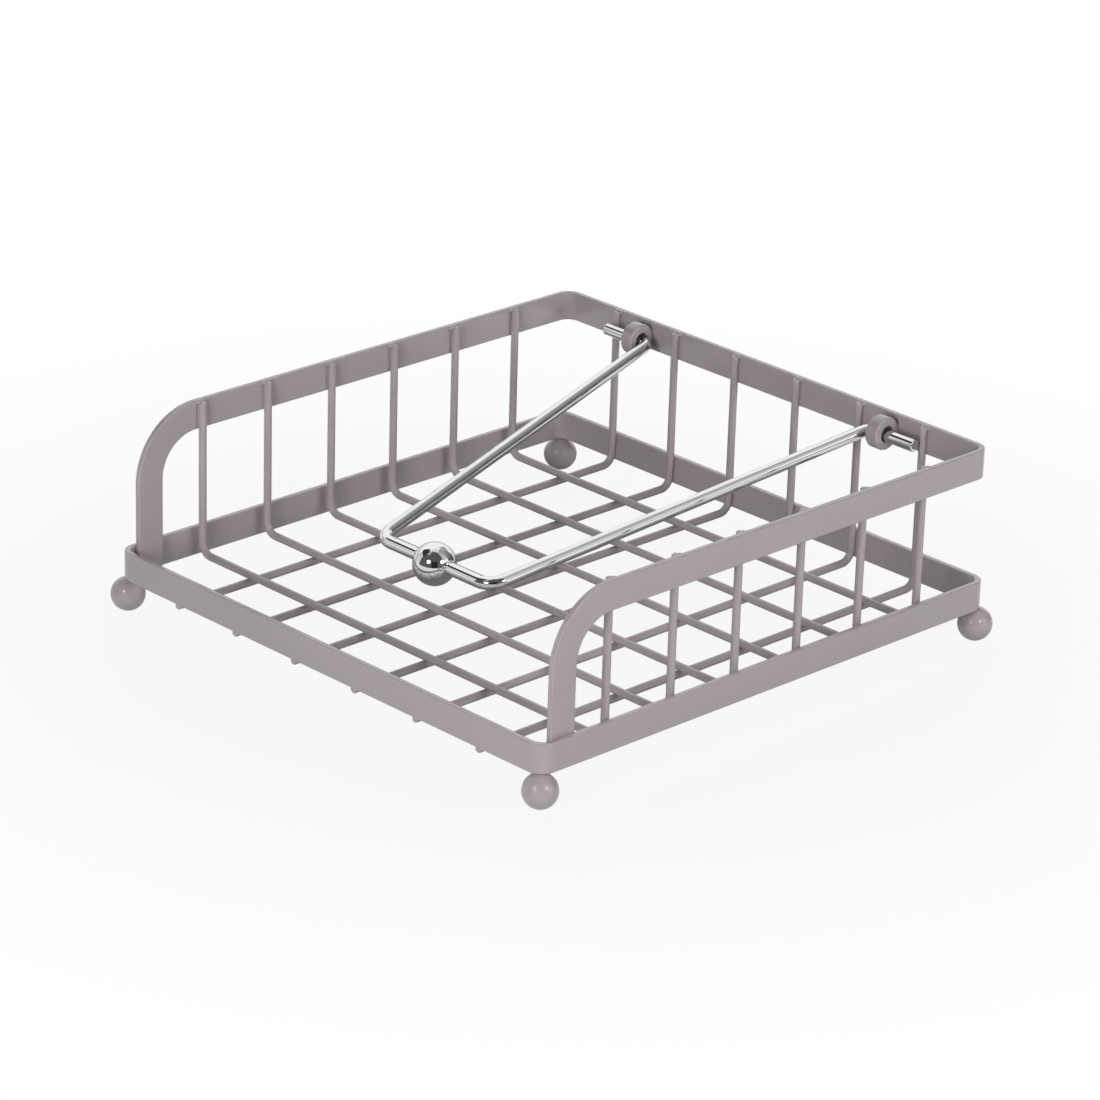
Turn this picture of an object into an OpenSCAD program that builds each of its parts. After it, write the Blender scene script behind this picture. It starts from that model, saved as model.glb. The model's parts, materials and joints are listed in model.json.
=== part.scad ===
// Napkin holder: a square open basket of flat strip and wire on ball feet, with a swinging press arm.
// Millimetres. X runs along the front, Y to the back and Z up, from the middle of the footprint.

$fn = 64;

/* [Strip] */
// Height of the flat strip of the base ring and the upper rail
strip_h = 9.5; // [6:0.1:13]
// Thickness of the flat strip
strip_t = 2; // [1.2:0.1:3]

/* [Base ring] */
// Width of the base ring over its outside
ring_w = 190; // [160:1:230]
// Depth of the base ring over its outside
ring_d = 190; // [175:1:230]
// Outside radius of the strip's upright corners
corner_r = 5.5; // [4:0.1:9]

/* [Upper rail] */
// Clear height between the base ring and the upper rail
rail_gap = 33.5; // [26:0.5:60]
// Inside radius of the bend from each side of the rail down to its front leg
rail_bend_r = 13.25; // [6:0.25:18]
// Height of the legs' lower ends above the ring's bottom edge
leg_lift = 1; // [0:0.1:4]

/* [Wires] */
// Diameter of the side and back wires
wire_d = 2.5; // [1.6:0.1:3.2]
// Radius of the bends in the wires, at the centre line
wire_bend_r = 4; // [2.5:0.1:8]
// Distance from the ring's front face to the first side wire
side_front_margin = 30; // [24:0.5:40]
// Distance from the ring's back face to the last side wire
side_back_margin = 27.5; // [20:0.5:40]
// Distance from each side of the ring to the nearest back wire
back_side_margin = 27.5; // [22:0.5:40]
// Distance of the wires' tops below the rail's top edge
wire_top_drop = 0.3; // [0:0.1:1]
// Distance of the back wires' front ends behind the ring's front face
wire_end_setback = 1.2; // [0.2:0.1:1.6]
// Depth of the flat where a wire is welded to a strip
weld_set = 0.15; // [0.05:0.05:0.4]

/* [Feet] */
// Diameter of the ball feet
foot_d = 11; // [8:0.5:16]
// Depth of the small flat that each ball stands on
foot_flat = 0.15; // [0.05:0.05:0.5]
// Depth of the flat where each ball is welded to the ring
foot_set = 0.35; // [0.1:0.05:0.8]

/* [Pivot collars] */
// Wall of a collar around its bore
collar_wall = 2.7; // [1.2:0.1:3]
// Length of a collar along its bore
collar_len = 4.9; // [3:0.1:8]
// Rounding of a collar's outer edges
collar_edge_r = 0.8; // [0.3:0.1:1]
// Depth of the flat where a collar is welded to the rail
collar_set = 0.2; // [0.1:0.05:0.5]
// Distance of the collars' centres below the middle of the rail
collar_drop = 0.3; // [0:0.1:1]

/* [Press arm] */
// Diameter of the arm's wire
arm_wire_d = 4; // [3:0.1:5]
// Length from the pivot axis to the front bar
arm_len = 139.5; // [110:0.5:150]
// Straight length of the front bar, between its bends
front_bar_len = 39; // [24:1:60]
// Radius of the bends at the front bar, at the centre line
front_bend_r = 6; // [4:0.5:10]
// Radius of the bends beside the collars, at the centre line
pin_bend_r = 3; // [2.6:0.1:5]
// Length of each pin past its collar
pin_reach = 11.5; // [4:0.25:14]
// Play around a pin in its collar
pin_play = 0.6; // [0.4:0.05:1.2]
// Gap under a pin that lies low in its collar
pin_gap = 0.15; // [0.1:0.05:0.3]
// Play between each collar and the bend beside it
side_play = 0.3; // [0.2:0.1:1]
// Slope of the arm below level at rest, in degrees
arm_angle = 9.7; // [0:0.1:13]

/* [Weight ball] */
// Diameter of the ball on the front bar
ball_d = 13.5; // [10:0.5:18]
// Distance of the ball's centre below the middle of the front bar
ball_drop = 0.7; // [0:0.1:1.5]

/* [Hidden] */

paint = [0.64, 0.61, 0.61];
chrome = [0.86, 0.87, 0.88];

// Wires in each set
wire_count = 6;
// Distance of a front leg from the start of the ring's corner
leg_corner_gap = 0.1;
// Gap between the side wires and the back wires that they cross
cross_gap = 0.05;
// Gap between a pin and the back wire that it passes
pin_wire_gap = 0.4;
// Gap around the front bar in the ball's bore
ball_fit = 0.03;
// Bevel at the free end of each pin
pin_tip = 0.4;
// Extra diameter of a round wire at its bends, and the length that its straights run into them
bend_swell = 0.03;
bend_lap = 0.2;
// Length that every cut runs past what it cuts
overrun = 1;

// Ring and rail: outer faces, inner faces and edges
ring_x = ring_w / 2;
ring_y = ring_d / 2;
ring_z0 = foot_d - foot_flat - foot_set;
ring_z1 = ring_z0 + strip_h;
rail_z0 = ring_z1 + rail_gap;
rail_z1 = rail_z0 + strip_h;
rail_x = ring_x - strip_t;
rail_in_x = rail_x - strip_t;
back_in_y = ring_y - strip_t;

// Front leg and the centre of the bend above it
leg_y = corner_r + leg_corner_gap - ring_y;
leg_z = ring_z0 + leg_lift;
rail_bend_y = leg_y + strip_h + rail_bend_r;
rail_bend_z = rail_z0 - rail_bend_r;

// Wires: the back wires run under the ring, and the side wires lie across them
side_wire_x = rail_in_x + weld_set - wire_d / 2;
back_wire_y = back_in_y + weld_set - wire_d / 2;
back_run_z = ring_z0 + weld_set - wire_d / 2;
side_run_z = back_run_z + wire_d + cross_gap;
back_end_y = wire_end_setback - ring_y;
wire_top_z = rail_z1 - wire_top_drop;
side_pitch = (ring_d - side_front_margin - side_back_margin) / (wire_count - 1);
back_pitch = (ring_w - 2 * back_side_margin) / (wire_count - 1);

// Feet: under the middle of the strip, half way round each corner
foot_z = foot_d / 2 - foot_flat;
foot_shift = corner_r - (corner_r - strip_t / 2) * cos(45);

// Collars: midway between the outer two back wires, far enough out for the pins to pass those wires
collar_bore = arm_wire_d + 2 * pin_play;
pin_standoff = collar_set + wire_d - weld_set + pin_wire_gap + arm_wire_d / 2;
collar_d = max(collar_bore + 2 * collar_wall, 2 * pin_standoff);
collar_x = ring_x - back_side_margin - back_pitch / 2;
collar_y = back_in_y + collar_set - collar_d / 2;
collar_z = (rail_z0 + rail_z1) / 2 - collar_drop;

// Arm: the leg is the line that touches the bend beside the collar and the bend at the front bar
pivot_z = collar_z - pin_play + pin_gap;
pin_x0 = collar_x - collar_len / 2 - side_play;
pin_x1 = collar_x + collar_len / 2 + pin_reach;
pin_bend_at = [pin_x0, -pin_bend_r];
front_bend_at = [front_bar_len / 2, front_bend_r - arm_len];
bend_span = front_bend_at - pin_bend_at;
bend_r_sum = pin_bend_r + front_bend_r;
leg_dir = atan2(bend_span.y, bend_span.x) + asin(bend_r_sum / norm(bend_span));
leg_turn = leg_dir + 180;
leg_len = sqrt(norm(bend_span) ^ 2 - bend_r_sum ^ 2);
leg_at = pin_bend_at + pin_bend_r * [cos(leg_turn + 90), sin(leg_turn + 90)];

// Rectangle with round corners
module rounded_rect(w, d, r) {
    square([w - 2 * r, d], center = true);
    square([w, d - 2 * r], center = true);
    for (x = [-1, 1], y = [-1, 1]) {
        translate([x * (w / 2 - r), y * (d / 2 - r)])
            circle(r);
    }
}

// Flat strip bent to a closed loop, seen from above
module strip_loop(w, d) {
    difference() {
        rounded_rect(w, d, corner_r);
        rounded_rect(w - 2 * strip_t, d - 2 * strip_t, corner_r - strip_t);
    }
}

// Bend in a round wire, from the X axis round to the angle a
module wire_bend(r, d, a) {
    rotate_extrude(angle = a)
        translate([r, 0])
            circle(d = d + bend_swell);
}

// Straight of a round wire along the X axis, run into the bend at each end
module wire_straight(d, len) {
    translate([-bend_lap, 0, 0])
        rotate([0, 90, 0])
            cylinder(d = d, h = len + 2 * bend_lap);
}

// Upright end of a wire, from the bend at the height z to its rounded top
module wire_upright(z) {
    start_z = z - bend_lap;
    tip_h = wire_top_z - wire_d / 2 - start_z;
    translate([0, 0, start_z])
        rotate_extrude()
            intersection() {
                union() {
                    square([wire_d / 2, tip_h]);
                    translate([0, tip_h])
                        circle(d = wire_d);
                }
                square([wire_d / 2, tip_h + wire_d / 2]);
            }
}

module base_ring() {
    color(paint)
        translate([0, 0, ring_z0])
            linear_extrude(strip_h)
                strip_loop(ring_w, ring_d);
}

// Side of the upper rail, seen from the right: front leg, bend and straight top
module rail_side_outline() {
    bend_out_r = rail_bend_r + strip_h;
    translate([leg_y, leg_z])
        square([strip_h, rail_bend_z - leg_z]);
    translate([rail_bend_y, rail_bend_z]) {
        intersection() {
            difference() {
                circle(bend_out_r);
                circle(rail_bend_r);
            }
            translate([-bend_out_r, 0])
                square(bend_out_r);
        }
    }
    translate([rail_bend_y, rail_z0])
        square([ring_y - corner_r - rail_bend_y, strip_h]);
}

module upper_rail() {
    color(paint) {
        for (side = [0, 1]) {
            mirror([side, 0, 0])
                translate([rail_in_x, 0, 0])
                    rotate([90, 0, 90])
                        linear_extrude(strip_t)
                            rail_side_outline();
        }
        translate([0, 0, rail_z0])
            linear_extrude(strip_h)
                intersection() {
                    strip_loop(2 * rail_x, ring_d);
                    translate([-ring_x, ring_y - corner_r])
                        square([ring_w, corner_r + overrun]);
                }
    }
}

// U-shaped wire: up one side, across the base and up the other side
module side_wire(index) {
    run_x = side_wire_x - wire_bend_r;
    bend_z = side_run_z + wire_bend_r;
    color(paint)
        translate([0, side_front_margin - ring_y + index * side_pitch, 0])
            difference() {
                union() {
                    translate([-run_x, 0, side_run_z])
                        wire_straight(wire_d, 2 * run_x);
                    for (side = [0, 1]) {
                        mirror([side, 0, 0]) {
                            translate([run_x, 0, bend_z])
                                rotate([90, 0, 0])
                                    rotate([0, 0, -90])
                                        wire_bend(wire_bend_r, wire_d, 90);
                            translate([side_wire_x, 0, 0])
                                wire_upright(bend_z);
                        }
                    }
                }
                for (side = [0, 1]) {
                    mirror([side, 0, 0])
                        translate([rail_in_x, -wire_d, rail_z0])
                            cube([strip_t, 2 * wire_d, strip_h]);
                }
            }
}

// L-shaped wire: down the back and forwards under the base to the front strip
module back_wire(index) {
    run_y = back_wire_y - wire_bend_r;
    bend_z = back_run_z + wire_bend_r;
    color(paint)
        translate([back_side_margin - ring_x + index * back_pitch, 0, 0])
            difference() {
                union() {
                    translate([0, run_y + bend_lap, back_run_z])
                        rotate([90, 0, 0])
                            cylinder(d = wire_d, h = run_y + bend_lap - back_end_y);
                    translate([0, run_y, bend_z])
                        rotate([90, 0, 90])
                            rotate([0, 0, -90])
                                wire_bend(wire_bend_r, wire_d, 90);
                    translate([0, back_wire_y, 0])
                        wire_upright(bend_z);
                }
                for (z = [ring_z0, rail_z0]) {
                    translate([-wire_d, back_in_y, z])
                        cube([2 * wire_d, strip_t, strip_h]);
                }
                translate([-wire_d, -ring_y, ring_z0])
                    cube([2 * wire_d, strip_t, strip_h]);
            }
}

module side_wire_1() side_wire(0);
module side_wire_2() side_wire(1);
module side_wire_3() side_wire(2);
module side_wire_4() side_wire(3);
module side_wire_5() side_wire(4);
module side_wire_6() side_wire(5);

module back_wire_1() back_wire(0);
module back_wire_2() back_wire(1);
module back_wire_3() back_wire(2);
module back_wire_4() back_wire(3);
module back_wire_5() back_wire(4);
module back_wire_6() back_wire(5);

// Ball foot under one corner of the ring, flat where it meets the strip and where it stands
module foot(side_x, side_y) {
    color(paint)
        translate([side_x * (ring_x - foot_shift), side_y * (ring_y - foot_shift), 0])
            intersection() {
                translate([0, 0, foot_z])
                    sphere(d = foot_d);
                translate([-foot_d, -foot_d, 0])
                    cube([2 * foot_d, 2 * foot_d, ring_z0]);
            }
}

module foot_front_left() foot(-1, -1);
module foot_front_right() foot(1, -1);
module foot_back_left() foot(-1, 1);
module foot_back_right() foot(1, 1);

// Section of a collar's wall, with its bore on the Y axis and its outer edges rounded
module collar_section() {
    outer_r = collar_d / 2;
    flat_len = collar_len - 2 * collar_edge_r;
    translate([collar_bore / 2, -collar_len / 2])
        square([outer_r - collar_edge_r - collar_bore / 2, collar_len]);
    translate([collar_bore / 2, -flat_len / 2])
        square([outer_r - collar_bore / 2, flat_len]);
    for (y = [-1, 1]) {
        translate([outer_r - collar_edge_r, y * flat_len / 2])
            circle(collar_edge_r);
    }
}

// Short barrel on the inside of the back rail, for one of the arm's pins
module collar(side_x) {
    color(paint)
        difference() {
            translate([side_x * collar_x, collar_y, collar_z])
                rotate([0, 90, 0])
                    rotate_extrude()
                        collar_section();
            translate([side_x * collar_x - collar_len, back_in_y, collar_z - collar_d])
                cube([2 * collar_len, strip_t, 2 * collar_d]);
        }
}

module left_collar() collar(-1);
module right_collar() collar(1);

// Puts a piece of the arm, drawn level about the pivot axis, at its place and slope
module on_pivot() {
    translate([0, collar_y, pivot_z])
        rotate([arm_angle, 0, 0])
            children();
}

// Pin, bend, leg and front bend on the right of the arm
module arm_half() {
    pin_len = pin_x1 - pin_x0 - pin_tip;
    translate([pin_x0 - bend_lap, 0, 0])
        rotate([0, 90, 0])
            cylinder(d = arm_wire_d, h = pin_len + bend_lap);
    translate([pin_x0 + pin_len, 0, 0])
        rotate([0, 90, 0])
            cylinder(d1 = arm_wire_d, d2 = arm_wire_d - 2 * pin_tip, h = pin_tip);
    translate([pin_bend_at.x, pin_bend_at.y, 0])
        rotate([0, 0, 90])
            wire_bend(pin_bend_r, arm_wire_d, leg_turn);
    translate([leg_at.x, leg_at.y, 0])
        rotate([0, 0, leg_dir])
            wire_straight(arm_wire_d, leg_len);
    translate([front_bend_at.x, front_bend_at.y, 0])
        rotate([0, 0, -90])
            wire_bend(front_bend_r, arm_wire_d, leg_turn);
}

module press_arm() {
    color(chrome)
        on_pivot() {
            for (side = [0, 1]) {
                mirror([side, 0, 0])
                    arm_half();
            }
            translate([-front_bar_len / 2, -arm_len, 0])
                wire_straight(arm_wire_d, front_bar_len);
        }
}

module weight_ball() {
    color(chrome)
        on_pivot()
            translate([0, -arm_len, 0])
                difference() {
                    translate([0, 0, -ball_drop])
                        rotate([0, 0, 90])
                            sphere(d = ball_d);
                    rotate([0, 90, 0])
                        cylinder(d = arm_wire_d + 2 * ball_fit, h = ball_d + overrun, center = true);
                }
}

base_ring();
upper_rail();
side_wire_1();
side_wire_2();
side_wire_3();
side_wire_4();
side_wire_5();
side_wire_6();
back_wire_1();
back_wire_2();
back_wire_3();
back_wire_4();
back_wire_5();
back_wire_6();
foot_front_left();
foot_front_right();
foot_back_left();
foot_back_right();
left_collar();
right_collar();
press_arm();
weight_ball();
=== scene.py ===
import json
import math

import bmesh
import bpy
from mathutils import Matrix, Vector


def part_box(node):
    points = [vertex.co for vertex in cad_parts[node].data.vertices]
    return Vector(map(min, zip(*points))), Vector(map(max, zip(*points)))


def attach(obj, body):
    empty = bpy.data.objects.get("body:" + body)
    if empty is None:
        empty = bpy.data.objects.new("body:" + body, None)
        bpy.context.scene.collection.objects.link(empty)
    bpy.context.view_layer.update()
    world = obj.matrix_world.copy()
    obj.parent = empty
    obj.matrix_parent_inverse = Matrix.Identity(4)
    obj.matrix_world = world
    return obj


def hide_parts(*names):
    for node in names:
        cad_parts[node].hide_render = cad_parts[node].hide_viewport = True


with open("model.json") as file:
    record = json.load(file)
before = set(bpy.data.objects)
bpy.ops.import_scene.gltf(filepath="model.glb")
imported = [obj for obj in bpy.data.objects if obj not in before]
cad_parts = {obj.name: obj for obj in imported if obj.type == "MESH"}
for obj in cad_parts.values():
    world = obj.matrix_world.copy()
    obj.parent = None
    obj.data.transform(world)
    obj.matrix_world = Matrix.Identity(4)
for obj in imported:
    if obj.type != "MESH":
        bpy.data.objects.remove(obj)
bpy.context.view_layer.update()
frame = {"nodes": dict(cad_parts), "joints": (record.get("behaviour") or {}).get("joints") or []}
print("frame loaded with", len(frame["nodes"]), "nodes")

mm = 0.001  # sizes in the dictionaries are millimetres
right, back, up = Vector((1, 0, 0)), Vector((0, 1, 0)), Vector((0, 0, 1))


# Camera, at the viewing angle of the picture
shot = {
    "azimuth": 45.646, "elevation": 22.250, "distance": 1458.1, "aimHeight": 35.5,  # where it stands
    "pan": 0.037, "tilt": 0.398, "roll": 1.753,  # how it is turned from its aim
    "focalPixels": 4750.4, "framePixels": 1100, "sensor": 36.0, "farthest": 50,
}


def towards(azimuth, elevation):
    # unit vector from the object, azimuth 0 in front and 90 on the right
    a, e = math.radians(azimuth), math.radians(elevation)
    return Vector((math.sin(a) * math.cos(e), -math.cos(a) * math.cos(e), math.sin(e)))


def setCamera():
    lens = bpy.data.cameras.new("camera")
    lens.sensor_width = shot["sensor"]
    lens.lens = shot["focalPixels"] / shot["framePixels"] * shot["sensor"]
    lens.clip_end = shot["farthest"]
    camera = bpy.data.objects.new("camera", lens)
    stand = towards(shot["azimuth"], shot["elevation"]) * shot["distance"] * mm
    turn = Matrix.Rotation(math.radians(shot["azimuth"] + shot["pan"]), 4, "Z")
    lean = Matrix.Rotation(math.radians(90 - shot["elevation"] - shot["tilt"]), 4, "X")
    roll = Matrix.Rotation(math.radians(shot["roll"]), 4, "Z")
    camera.matrix_world = Matrix.Translation(stand + up * shot["aimHeight"] * mm) @ turn @ lean @ roll
    bpy.context.scene.collection.objects.link(camera)
    bpy.context.scene.camera = camera


setCamera()
print("camera set")


# Finishes
def startMaterial(name):
    material = bpy.data.materials.new(name)
    material.use_nodes = True
    nodes, links = material.node_tree.nodes, material.node_tree.links
    place = nodes.new("ShaderNodeTexCoord").outputs["Object"]
    return material, nodes, links, nodes["Principled BSDF"], place


def addNoise(nodes, links, place, grain):
    # noise whose blotches are about grain millimetres across
    noise = nodes.new("ShaderNodeTexNoise")
    noise.inputs["Scale"].default_value = 1 / (grain * mm)
    links.new(place, noise.inputs["Vector"])
    return noise.outputs["Fac"]


def addRange(nodes, links, value, low, high, fromLow=0.3, fromHigh=0.7):
    # maps a value, unless told otherwise the middle of a noise, onto a range of shader values
    node = nodes.new("ShaderNodeMapRange")
    node.inputs["From Min"].default_value = fromLow
    node.inputs["From Max"].default_value = fromHigh
    node.inputs["To Min"].default_value = low
    node.inputs["To Max"].default_value = high
    links.new(value, node.inputs["Value"])
    return node.outputs["Result"]


def addBump(nodes, links, shader, height, depth, before=None):
    bump = nodes.new("ShaderNodeBump")
    bump.inputs["Distance"].default_value = depth * mm
    bump.inputs["Strength"].default_value = 1
    links.new(height, bump.inputs["Height"])
    if before:
        links.new(before, bump.inputs["Normal"])
    links.new(bump.outputs["Normal"], shader.inputs["Normal"])
    return bump.outputs["Normal"]


powderCoat = {
    "tone": (0.371, 0.328, 0.342), "cloud": 0.02, "speck": 0.03,  # taupe, and how far it strays
    "cloudGrain": 30.0, "speckGrain": 0.35,
    "roughness": (0.13, 0.18), "peelGrain": 1.4, "peelDepth": 0.004, "dustDepth": 0.001,
}


def makePowderCoat():
    material, nodes, links, shader, place = startMaterial("powderCoat")
    cloud = addNoise(nodes, links, place, powderCoat["cloudGrain"])
    speck = addNoise(nodes, links, place, powderCoat["speckGrain"])
    peel = addNoise(nodes, links, place, powderCoat["peelGrain"])
    shade = nodes.new("ShaderNodeMath")  # brightness, slow clouds times fine specks
    shade.operation = "MULTIPLY"
    for socket, noise, stray in ((0, cloud, powderCoat["cloud"]), (1, speck, powderCoat["speck"])):
        links.new(addRange(nodes, links, noise, 1 - stray, 1 + stray), shade.inputs[socket])
    tint = nodes.new("ShaderNodeVectorMath")
    tint.operation = "SCALE"
    tint.inputs[0].default_value = powderCoat["tone"]
    links.new(shade.outputs[0], tint.inputs["Scale"])
    links.new(tint.outputs["Vector"], shader.inputs["Base Color"])
    links.new(addRange(nodes, links, cloud, *powderCoat["roughness"]), shader.inputs["Roughness"])
    orange = addBump(nodes, links, shader, peel, powderCoat["peelDepth"])
    addBump(nodes, links, shader, speck, powderCoat["dustDepth"], orange)
    return material


brightChrome = {
    "tone": (0.64, 0.645, 0.65), "roughness": (0.02, 0.05),
    "hazeGrain": 6.0, "rippleGrain": 9.0, "rippleDepth": 0.004,
}


def makeBrightChrome():
    material, nodes, links, shader, place = startMaterial("brightChrome")
    shader.inputs["Base Color"].default_value = (*brightChrome["tone"], 1)
    shader.inputs["Metallic"].default_value = 1
    haze = addNoise(nodes, links, place, brightChrome["hazeGrain"])
    links.new(addRange(nodes, links, haze, *brightChrome["roughness"]), shader.inputs["Roughness"])
    ripple = addNoise(nodes, links, place, brightChrome["rippleGrain"])
    addBump(nodes, links, shader, ripple, brightChrome["rippleDepth"])
    return material


paint, chrome = makePowderCoat(), makeBrightChrome()
print("finishes mixed")


# Bending bars: a loop of edges is the open end, which runs on or goes round a bend
bending = {
    "edgeSteps": 4, "leastSteps": 4, "stepAngle": 5,  # facets of a soft edge and of a bend
    "weldSides": 16, "weldRings": 10, "mergeWithin": 0.0005,
}


def edgesIn(geom):
    return [part for part in geom if isinstance(part, bmesh.types.BMEdge)]


def vertsIn(geom):
    return [part for part in geom if isinstance(part, bmesh.types.BMVert)]


def stripEnd(bm, at, across, along, thick, tall, rounding):
    # end face of a flat strip, with its corners softened
    turn = Matrix((across, along, across.cross(along))).transposed().to_4x4()
    size = Matrix.Diagonal((thick, tall, 1, 1))
    place = Matrix.Translation(at) @ turn @ size
    corners = bmesh.ops.create_grid(bm, x_segments=1, y_segments=1, size=0.5, matrix=place)["verts"]
    bmesh.ops.bevel(bm, geom=corners, offset=rounding, offset_type="OFFSET",
                    segments=bending["edgeSteps"], profile=0.5, affect="VERTICES", material=-1)
    return list(bm.edges)


def wireEnd(bm, at, heading, diameter, sides):
    # end circle of a round wire
    place = Matrix.Translation(at) @ heading.to_track_quat("Z", "Y").to_matrix().to_4x4()
    rim = bmesh.ops.create_circle(bm, segments=sides, radius=diameter / 2, matrix=place)["verts"]
    return list({edge for vert in rim for edge in vert.link_edges})


def sweep(bm, loop, at, heading, path):
    # path holds ("run", length) and ("bend", radius, axis, degrees)
    for step in path:
        if step[0] == "run":
            out = bmesh.ops.extrude_edge_only(bm, edges=loop)["geom"]
            bmesh.ops.translate(bm, verts=vertsIn(out), vec=heading * step[1])
            at = at + heading * step[1]
            loop = edgesIn(out)
        else:
            radius, axis, angle = step[1], step[2], math.radians(step[3])
            centre = at + axis.cross(heading) * radius * math.copysign(1, angle)
            count = max(bending["leastSteps"], round(abs(step[3]) / bending["stepAngle"]))
            out = bmesh.ops.spin(bm, geom=loop, cent=centre, axis=axis, dvec=(0, 0, 0),
                                 angle=angle, steps=count)
            turn = Matrix.Rotation(angle, 3, axis)
            at, heading = centre + turn @ (at - centre), turn @ heading
            loop = edgesIn(out["geom_last"])


def closeEnds(bm, rounding, segments):
    rims = [edge for edge in bm.edges if edge.is_boundary]
    caps = bmesh.ops.holes_fill(bm, edges=rims)["faces"]
    rims = list({edge for cap in caps for edge in cap.edges})
    bmesh.ops.bevel(bm, geom=rims, offset=rounding, offset_type="OFFSET", segments=segments,
                    profile=0.5, affect="EDGES", material=-1)


def addWeld(bm, at, halfSizes):
    # smooth bead of weld under the coating
    place = Matrix.Translation(at) @ Matrix.Diagonal((*halfSizes, 1))
    bmesh.ops.create_uvsphere(bm, u_segments=bending["weldSides"], v_segments=bending["weldRings"],
                              radius=1, matrix=place)


def finishPiece(bm, name, node, body, material):
    bmesh.ops.remove_doubles(bm, verts=bm.verts, dist=bending["mergeWithin"] * mm)
    bmesh.ops.recalc_face_normals(bm, faces=bm.faces)
    mesh = bpy.data.meshes.new(name)
    bm.to_mesh(mesh)
    bm.free()
    mesh.shade_smooth()
    mesh.materials.append(material)
    piece = bpy.data.objects.new(name, mesh)
    bpy.context.scene.collection.objects.link(piece)
    piece.modifiers.new("evenNormals", "WEIGHTED_NORMAL")  # keeps the flats flat beside soft edges
    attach(piece, body)
    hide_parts(node)


def finishPainted(bm, name, node):
    finishPiece(bm, name, node, "frame", paint)


# Base ring and upper rail, bent from one kind of strip
ringLow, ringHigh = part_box("base_ring")
railLow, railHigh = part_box("upper_rail")
strip = {"cornerRadius": 5.5, "legBend": 13.25, "softEdge": 0.45, "endSteps": 2}
stripTall = ringHigh.z - ringLow.z
stripThick = ringHigh.x - railHigh.x  # the rail stands just inside the ring
cornerMid = strip["cornerRadius"] * mm - stripThick / 2
softEdge = strip["softEdge"] * mm


def makeBaseRing():
    bm = bmesh.new()
    inset = strip["cornerRadius"] * mm
    width, depth = ringHigh.x - ringLow.x - 2 * inset, ringHigh.y - ringLow.y - 2 * inset
    at = Vector((0, ringLow.y + stripThick / 2, (ringLow.z + ringHigh.z) / 2))
    loop = stripEnd(bm, at, back, up, stripThick, stripTall, softEdge)
    bmesh.ops.delete(bm, geom=list(bm.faces), context="FACES_ONLY")
    corner = ("bend", cornerMid, up, 90)
    sweep(bm, loop, at, right, [
        ("run", width / 2), corner, ("run", depth), corner, ("run", width),
        corner, ("run", depth), corner, ("run", width / 2),
    ])
    finishPainted(bm, "baseRing", "base_ring")


def makeUpperRail():
    bm = bmesh.new()
    legBend = strip["legBend"] * mm + stripTall / 2
    legTop = railHigh.z - stripTall / 2 - legBend
    sideEnd = railHigh.y - strip["cornerRadius"] * mm
    at = Vector((railLow.x + stripThick / 2, railLow.y + stripTall / 2, railLow.z))
    loop = stripEnd(bm, at, right, back, stripThick, stripTall, softEdge)
    bmesh.ops.delete(bm, geom=list(bm.faces), context="FACES_ONLY")
    leg = ("run", legTop - railLow.z)
    side = ("run", sideEnd - at.y - legBend)
    corner = ("bend", cornerMid, up, -90)
    rear = ("run", railHigh.x - railLow.x - 2 * strip["cornerRadius"] * mm)
    sweep(bm, loop, at, up, [
        leg, ("bend", legBend, right, -90), side, corner, rear,
        corner, side, ("bend", legBend, right, 90), leg,
    ])
    closeEnds(bm, softEdge / 2, strip["endSteps"])
    finishPainted(bm, "upperRail", "upper_rail")


makeBaseRing()
makeUpperRail()
print("strips bent")


# Side wires, U-shaped across the base, and back wires, L-shaped under it
wire = {
    "count": 6, "diameter": 2.5, "sides": 24, "bendRadius": 4.0,
    "endRounding": 0.5, "endSteps": 5,  # rounding as a share of the radius
    # beads beside a wire: half sizes, length and drop in strip heights, and place in radii
    "weldWide": 0.35, "weldDeep": 0.3, "weldLong": 0.86, "weldDrop": 0.52,
    "weldAside": 0.6, "weldOut": 0.85,
    # bead at a wire's top: half sizes, drop and shift, and place in radii
    "topWeld": (2.1, 0.75, 0.75), "topDrop": 0.3, "topShift": 0.3, "topOut": 0.75,
}
wireRadius = wire["diameter"] / 2 * mm
wireBend = wire["bendRadius"] * mm


def weldToStrip(bm, at, along, outward, tall):
    # a narrow bead deep in the groove on each side of a wire, where it lies against a strip
    wide, deep = wire["weldWide"] * mm, wire["weldDeep"] * mm
    size = along * wide + outward * deep + up * tall / 2
    for side in (-1, 1):
        aside = along * side * wireRadius * wire["weldAside"]
        place = at + aside + outward * wireRadius * wire["weldOut"]
        addWeld(bm, place, [abs(length) for length in size])


def weldTop(bm, top, along, outward):
    # the wider bead that holds a wire's top end to the rail
    wide, deep, tall = (size * mm for size in wire["topWeld"])
    size = along * wide + outward * deep + up * tall
    place = top + outward * wireRadius * wire["topOut"] - up * wire["topDrop"] * mm
    addWeld(bm, place, [abs(length) for length in size])


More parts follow.
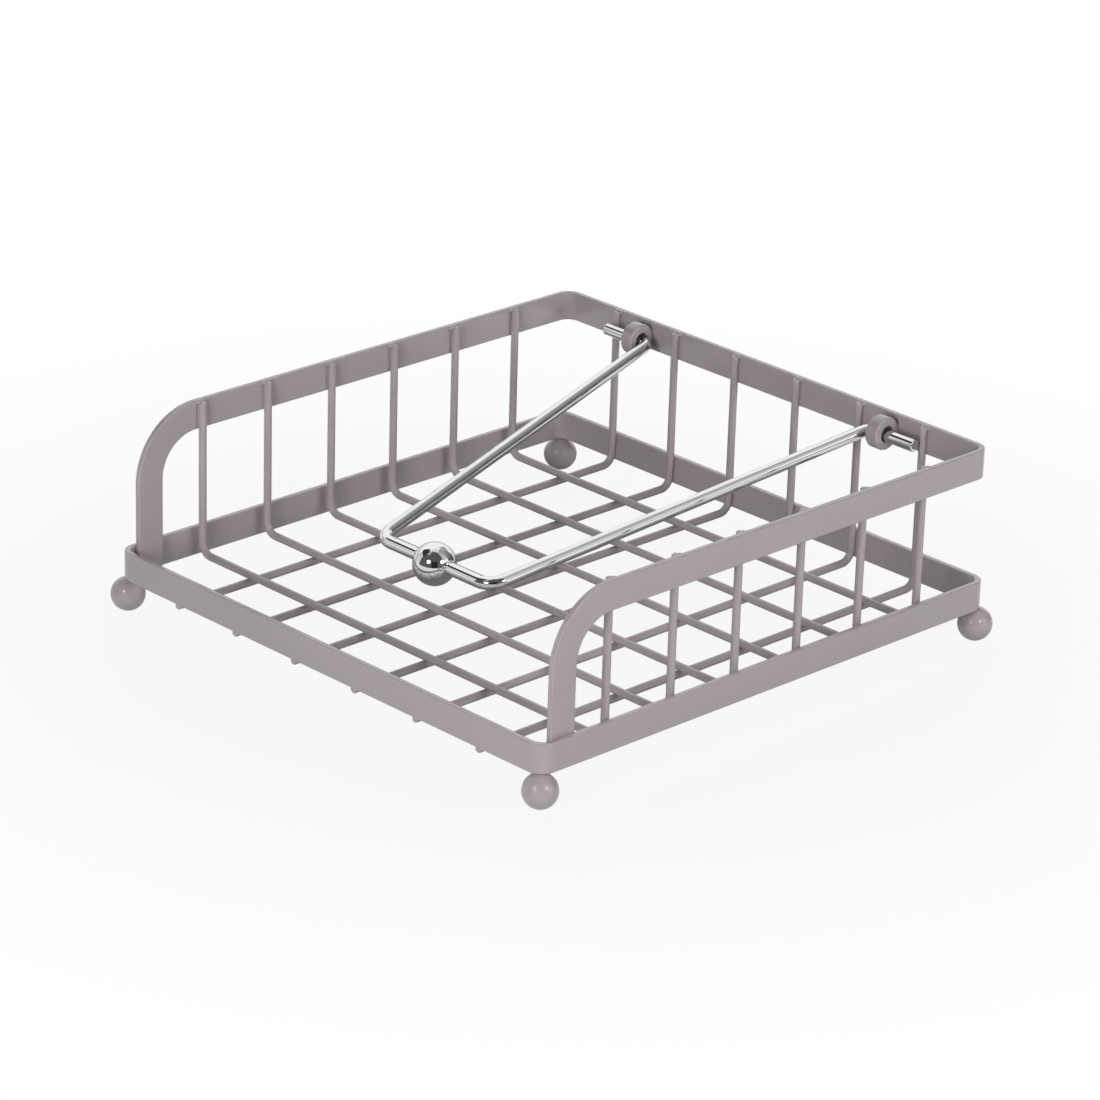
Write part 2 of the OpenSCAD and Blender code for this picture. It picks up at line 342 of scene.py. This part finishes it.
def makeSideWire(number):
    node = f"side_wire_{number}"
    low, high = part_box(node)
    bm = bmesh.new()
    sideX, runZ = high.x - wireRadius, low.z + wireRadius
    middle = (low.y + high.y) / 2
    at = Vector((-sideX, middle, high.z))
    loop = wireEnd(bm, at, -up, wire["diameter"] * mm, wire["sides"])
    upright = ("run", high.z - runZ - wireBend)
    bend = ("bend", wireBend, back, -90)
    sweep(bm, loop, at, -up, [upright, bend, ("run", 2 * (sideX - wireBend)), bend, upright])
    closeEnds(bm, wireRadius * wire["endRounding"], wire["endSteps"])
    for side in (-1, 1):
        weldAt = Vector((side * sideX, middle, railHigh.z - stripTall * wire["weldDrop"]))
        weldToStrip(bm, weldAt, back, right * side, stripTall * wire["weldLong"])
        top = Vector((side * sideX, middle - wire["topShift"] * mm, high.z))
        weldTop(bm, top, back, right * side)
    finishPainted(bm, f"sideWire{number}", node)


def makeBackWire(number):
    node = f"back_wire_{number}"
    low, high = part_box(node)
    bm = bmesh.new()
    backY, runZ = high.y - wireRadius, low.z + wireRadius
    middle = (low.x + high.x) / 2
    at = Vector((middle, backY, high.z))
    loop = wireEnd(bm, at, -up, wire["diameter"] * mm, wire["sides"])
    upright = ("run", high.z - runZ - wireBend)
    under = ("run", backY - wireBend - low.y)
    sweep(bm, loop, at, -up, [upright, ("bend", wireBend, right, -90), under])
    closeEnds(bm, wireRadius * wire["endRounding"], wire["endSteps"])
    for top in (railHigh.z, ringHigh.z):
        weldAt = Vector((middle, backY, top - stripTall * wire["weldDrop"]))
        weldToStrip(bm, weldAt, right, back, stripTall * wire["weldLong"])
    weldTop(bm, at, right, back)
    finishPainted(bm, f"backWire{number}", node)


for number in range(1, wire["count"] + 1):
    makeSideWire(number)
    makeBackWire(number)
print("wires bent and welded")


# Ball feet
foot = {"rings": 40, "sides": 64}


def makeFoot(node, name):
    low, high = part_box(node)
    radius = (high.x - low.x) / 2
    seat = math.sqrt(radius ** 2 - (stripThick / 2) ** 2)  # the strip's edge sits on a small flat
    centre = Vector(((low.x + high.x) / 2, (low.y + high.y) / 2, high.z - seat))
    bm = bmesh.new()
    bmesh.ops.create_uvsphere(bm, u_segments=foot["sides"], v_segments=foot["rings"], radius=radius,
                              matrix=Matrix.Translation(centre))
    geom = list(bm.verts) + list(bm.edges) + list(bm.faces)
    bmesh.ops.bisect_plane(bm, geom=geom, plane_co=(0, 0, low.z), plane_no=-up, clear_outer=True)
    bmesh.ops.holes_fill(bm, edges=[edge for edge in bm.edges if edge.is_boundary])
    finishPainted(bm, name, node)


for node, name in (("foot_front_left", "footFrontLeft"), ("foot_front_right", "footFrontRight"),
                   ("foot_back_left", "footBackLeft"), ("foot_back_right", "footBackRight")):
    makeFoot(node, name)
print("feet set")


# Pivot collars
collar = {
    "bore": 5.2, "outerEdge": 0.8, "boreEdge": 0.3, "edgeSteps": 6, "steps": 64,
    "weld": (1.7, 0.6, 0.8), "weldIn": 0.3, "weldApart": 2.4,  # half sizes of the beads, and their place
}


def makeCollar(node, name):
    low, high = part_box(node)
    radius, bore = (high.z - low.z) / 2, collar["bore"] / 2 * mm
    axisAt = Vector(((low.x + high.x) / 2, low.y + radius, (low.z + high.z) / 2))
    bm = bmesh.new()
    wall = radius - bore
    at = axisAt + up * (bore + wall / 2)
    place = Matrix.Translation(at) @ Matrix.Rotation(math.radians(90), 4, "X")
    size = Matrix.Diagonal((high.x - low.x, wall, 1, 1))
    grid = bmesh.ops.create_grid(bm, x_segments=1, y_segments=1, size=0.5, matrix=place @ size)
    corners = grid["verts"]
    for inner in (False, True):
        rounding = (collar["boreEdge"] if inner else collar["outerEdge"]) * mm
        chosen = [vert for vert in corners if vert.is_valid and (vert.co.z < at.z) == inner]
        bmesh.ops.bevel(bm, geom=chosen, offset=rounding, offset_type="OFFSET",
                        segments=collar["edgeSteps"], profile=0.5, affect="VERTICES", material=-1)
    rim = list(bm.edges)
    bmesh.ops.delete(bm, geom=list(bm.faces), context="FACES_ONLY")
    bmesh.ops.spin(bm, geom=rim, cent=axisAt, axis=right, dvec=(0, 0, 0), angle=math.tau,
                   steps=collar["steps"], use_merge=True)
    for side in (-1, 1):
        apart = side * collar["weldApart"] * mm
        weldAt = Vector((axisAt.x, high.y - collar["weldIn"] * mm, axisAt.z + apart))
        addWeld(bm, weldAt, [size * mm for size in collar["weld"]])
    finishPainted(bm, name, node)


makeCollar("left_collar", "leftCollar")
makeCollar("right_collar", "rightCollar")
print("collars set")


# Press arm and its ball, made level about the pivot and then sloped
arm = {
    "wire": 4.0, "sides": 48, "frontBar": 39.0, "frontBend": 6.0, "pinBend": 3.0, "sidePlay": 0.3,
    "pinBevel": 0.5, "pinSteps": 4, "ballDrop": 0.7,  # the ball hangs a little below its bar
}
pivot = Vector(frame["joints"][0]["pos_m"])
ballLow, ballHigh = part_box("weight_ball")
ballAt = (ballLow + ballHigh) / 2
ballDrop = arm["ballDrop"] * mm
ballAway = math.hypot(pivot.y - ballAt.y, pivot.z - ballAt.z)
armReach = math.sqrt(ballAway ** 2 - ballDrop ** 2)
armSlope = math.atan2(pivot.z - ballAt.z, pivot.y - ballAt.y) - math.asin(ballDrop / ballAway)
onPivot = Matrix.Translation(pivot) @ Matrix.Rotation(armSlope, 4, "X")


def makePressArm():
    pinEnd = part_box("press_arm")[1].x
    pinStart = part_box("right_collar")[0].x - arm["sidePlay"] * mm
    pinBend, frontBend, bar = arm["pinBend"] * mm, arm["frontBend"] * mm, arm["frontBar"] * mm
    # the leg is the line that touches both bends
    bends, spread, depth = pinBend + frontBend, pinStart - bar / 2, armReach - pinBend - frontBend
    leg = math.sqrt(spread ** 2 + depth ** 2 - bends ** 2)
    turn = math.degrees(math.atan2(depth, spread) + math.atan2(bends, leg))
    bm = bmesh.new()
    at = Vector((-pinEnd, 0, 0))
    loop = wireEnd(bm, at, right, arm["wire"] * mm, arm["sides"])
    pin = ("run", pinEnd - pinStart)
    sweep(bm, loop, at, right, [
        pin, ("bend", pinBend, up, -turn), ("run", leg), ("bend", frontBend, up, turn), ("run", bar),
        ("bend", frontBend, up, turn), ("run", leg), ("bend", pinBend, up, -turn), pin,
    ])
    closeEnds(bm, arm["pinBevel"] * mm, arm["pinSteps"])
    bmesh.ops.transform(bm, matrix=onPivot, verts=bm.verts)
    finishPiece(bm, "pressArm", "press_arm", "arm", chrome)


ball = {"rings": 64, "sides": 96, "weldWide": 0.45, "weldLean": 6, "weldSteps": 12}


def makeWeightBall():
    radius = (ballHigh.z - ballLow.z) / 2
    barRadius, weldWide = arm["wire"] / 2 * mm, ball["weldWide"] * mm
    bm = bmesh.new()
    level = Matrix.Translation((0, -armReach, 0))
    sideways = Matrix.Rotation(math.radians(90), 4, "Y")  # poles where the bar goes in
    bmesh.ops.create_uvsphere(bm, u_segments=ball["sides"], v_segments=ball["rings"], radius=radius,
                              matrix=level @ Matrix.Translation((0, 0, -ballDrop)) @ sideways)
    entry = math.sqrt(radius ** 2 - barRadius ** 2)
    for side in (-1, 1):  # ring of weld where the bar goes in, leaning with the ball's skin
        lean = Matrix.Rotation(math.radians(ball["weldLean"]) * side, 4, "Y")
        place = level @ Matrix.Translation((side * entry, 0, 0)) @ lean
        rim = bmesh.ops.create_circle(bm, segments=ball["weldSteps"], radius=weldWide,
                                      matrix=place @ Matrix.Translation((0, 0, barRadius))
                                      @ Matrix.Rotation(math.radians(90), 4, "X"))["verts"]
        loop = list({edge for vert in rim for edge in vert.link_edges})
        axis = place.to_3x3() @ right
        bmesh.ops.spin(bm, geom=loop, cent=place.translation, axis=axis, dvec=(0, 0, 0),
                       angle=math.tau, steps=arm["sides"], use_merge=True)
    bmesh.ops.transform(bm, matrix=onPivot, verts=bm.verts)
    finishPiece(bm, "weightBall", "weight_ball", "arm", chrome)


makePressArm()
makeWeightBall()
print("arm and ball made")


# Studio: white floor and surround, soft lamps, and cards round the part for the metal to mirror
studio = {
    "floorSize": 8.0, "floorTone": 0.55, "floorRoughness": 0.9, "ambient": 0.1,
    # the floor's own white: middle, reach from it, and level near it and far from it; in mirrors the
    # floor near the part is a painted shade, dim under the part and white farther off
    "seenWhite": ((0, 0), (0.13, 0.29), (0.9, 1.0)),
    "mirroredWhiteAndPaintedShade": ((-0.02, 0.03), (0.1, 0.15), (0.2, 1.0)),
    "lamps": (  # name, azimuth, elevation, distance, size, watts and whether it is mirrored
        ("frontLamp", 21, 14, 0.8, 0.3, 2.6, False),
        ("rightLamp", 112, 22, 1.0, 0.4, 3.4, False),
        ("backLamp", -130, 26, 1.3, 0.8, 13.0, False),
        ("frontSpot", 11, 29, 0.9, 0.24, 1.35, True),
        ("sideSpot", 88, 29, 0.9, 0.24, 1.3, True),
    ),
    "cards": (  # name, azimuth from and to, elevation from and to, brightness at its foot and top
        ("whiteWall", -185, -75, 3, 74, 1.3, 1.3),
        ("leftWall", -75, -36, 2, 36, 1.0, 0.8),
        ("rightWall", 98, 134, 0, 76, 1.25, 0.55),
        ("rightStrip", 96, 130, 0, 28, 1.5, 1.4),
        ("darkCorner", 132, 176, 0, 74, 0.0, 0.5),
        ("softCorner", 174, 200, 30, 62, 0.5, 0.6),
        ("dimRoom", -38, 100, 0, 84, 0.15, 0.12),
        ("darkArch", -82, -34, 36, 68, 0.05, 0.05),
        ("cameraPlace", 30, 62, 0, 34, 0.03, 0.03),
        ("leftPanel", -34, -8, 56, 76, 0.55, 0.55),
    ),
    "cardAway": 3.0, "cardStep": 0.1, "cardRows": 24, "cardColumns": 36,
}


def addMath(nodes, links, operation, first, second):
    node = nodes.new("ShaderNodeMath")
    node.operation = operation
    node.use_clamp = True
    links.new(first, node.inputs[0])
    links.new(second, node.inputs[1])
    return node.outputs[0]


def addSeen(nodes, links):
    # 1 for what the camera sees straight, and 1 for what it sees mirrored or through glass
    path = nodes.new("ShaderNodeLightPath").outputs
    mirrored = addMath(nodes, links, "ADD", path["Is Glossy Ray"], path["Is Transmission Ray"])
    return path["Is Camera Ray"], mirrored


def addFade(nodes, links, place, middle, reach, levels):
    # level that changes from near a middle point to far from it
    away = nodes.new("ShaderNodeVectorMath")
    away.operation = "DISTANCE"
    away.inputs[1].default_value = (*middle, 0)
    links.new(place, away.inputs[0])
    return addRange(nodes, links, away.outputs["Value"], *levels, *reach)


def layFloor():
    bm = bmesh.new()
    bmesh.ops.create_grid(bm, x_segments=1, y_segments=1, size=studio["floorSize"] / 2)
    mesh = bpy.data.meshes.new("floor")
    bm.to_mesh(mesh)
    bm.free()
    material, nodes, links, shader, place = startMaterial("whiteFloor")
    shader.inputs["Base Color"].default_value = (studio["floorTone"],) * 3 + (1,)
    shader.inputs["Roughness"].default_value = studio["floorRoughness"]
    shader.inputs["Specular IOR Level"].default_value = 0
    seen, mirrored = addSeen(nodes, links)
    seenFade = addFade(nodes, links, place, *studio["seenWhite"])
    # mirrors see only the floor's glow, dimmed near the part as painted shade under it, and white
    # farther off
    mirroredPaintedShadeFade = addFade(nodes, links, place, *studio["mirroredWhiteAndPaintedShade"])
    seenWhite = addMath(nodes, links, "MULTIPLY", seen, seenFade)
    mirroredWhiteAndPaintedShade = addMath(nodes, links, "MULTIPLY", mirrored, mirroredPaintedShadeFade)
    glow = nodes.new("ShaderNodeEmission")
    links.new(addMath(nodes, links, "ADD", seen, mirroredWhiteAndPaintedShade), glow.inputs["Strength"])
    blend = nodes.new("ShaderNodeMixShader")
    links.new(addMath(nodes, links, "ADD", seenWhite, mirrored), blend.inputs["Fac"])
    links.new(shader.outputs["BSDF"], blend.inputs[1])
    links.new(glow.outputs["Emission"], blend.inputs[2])
    links.new(blend.outputs["Shader"], nodes["Material Output"].inputs["Surface"])
    mesh.materials.append(material)
    floor = bpy.data.objects.new("floor", mesh)
    bpy.context.scene.collection.objects.link(floor)


def setWorld():
    world = bpy.data.worlds.new("surround")
    world.use_nodes = True
    nodes, links = world.node_tree.nodes, world.node_tree.links
    dim = nodes["Background"]
    dim.inputs["Color"].default_value = (1, 1, 1, 1)
    dim.inputs["Strength"].default_value = studio["ambient"]
    white = nodes.new("ShaderNodeBackground")
    white.inputs["Color"].default_value = (1, 1, 1, 1)
    blend = nodes.new("ShaderNodeMixShader")
    links.new(addMath(nodes, links, "ADD", *addSeen(nodes, links)), blend.inputs["Fac"])
    links.new(dim.outputs["Background"], blend.inputs[1])
    links.new(white.outputs["Background"], blend.inputs[2])
    links.new(blend.outputs["Shader"], nodes["World Output"].inputs["Surface"])
    bpy.context.scene.world = world


def hangLamps():
    for name, azimuth, elevation, distance, size, watts, mirrored in studio["lamps"]:
        light = bpy.data.lights.new(name, "AREA")
        light.shape = "DISK"
        light.size = size
        light.energy = watts
        lamp = bpy.data.objects.new(name, light)
        way = towards(azimuth, elevation)
        aim = (-way).to_track_quat("-Z", "Y").to_matrix().to_4x4()
        lamp.matrix_world = Matrix.Translation(way * distance) @ aim
        lamp.visible_camera = False
        lamp.visible_glossy = mirrored
        bpy.context.scene.collection.objects.link(lamp)


def hangCards():
    # curved cards round the part, each nearer than the last, which only mirrors and gloss pick up
    for number, (name, azimuth, azimuthTo, low, high, footGlow, topGlow) in enumerate(studio["cards"]):
        away = studio["cardAway"] - number * studio["cardStep"]
        bm = bmesh.new()
        corner = bm.verts.new(towards(azimuth, low) * away)
        bmesh.ops.spin(bm, geom=[corner], cent=(0, 0, 0), axis=towards(azimuth, 0).cross(up),
                       dvec=(0, 0, 0), angle=math.radians(high - low), steps=studio["cardRows"])
        bmesh.ops.spin(bm, geom=list(bm.edges), cent=(0, 0, 0), axis=up, dvec=(0, 0, 0),
                       angle=math.radians(azimuthTo - azimuth), steps=studio["cardColumns"])
        mesh = bpy.data.meshes.new(name)
        bm.to_mesh(mesh)
        bm.free()
        material, nodes, links, _, place = startMaterial(name)
        height = nodes.new("ShaderNodeSeparateXYZ")
        links.new(place, height.inputs[0])
        ends = [away * math.sin(math.radians(angle)) for angle in (low, high)]
        glow = nodes.new("ShaderNodeEmission")
        level = addRange(nodes, links, height.outputs["Z"], footGlow, topGlow, *ends)
        links.new(level, glow.inputs["Strength"])
        links.new(glow.outputs["Emission"], nodes["Material Output"].inputs["Surface"])
        mesh.materials.append(material)
        card = bpy.data.objects.new(name, mesh)
        bpy.context.scene.collection.objects.link(card)
        card.visible_camera = False
        card.visible_diffuse = False
        card.visible_transmission = False
        card.visible_shadow = False


layFloor()
setWorld()
hangLamps()
hangCards()
bpy.context.scene.view_settings.view_transform = "Standard"
print("studio lit")
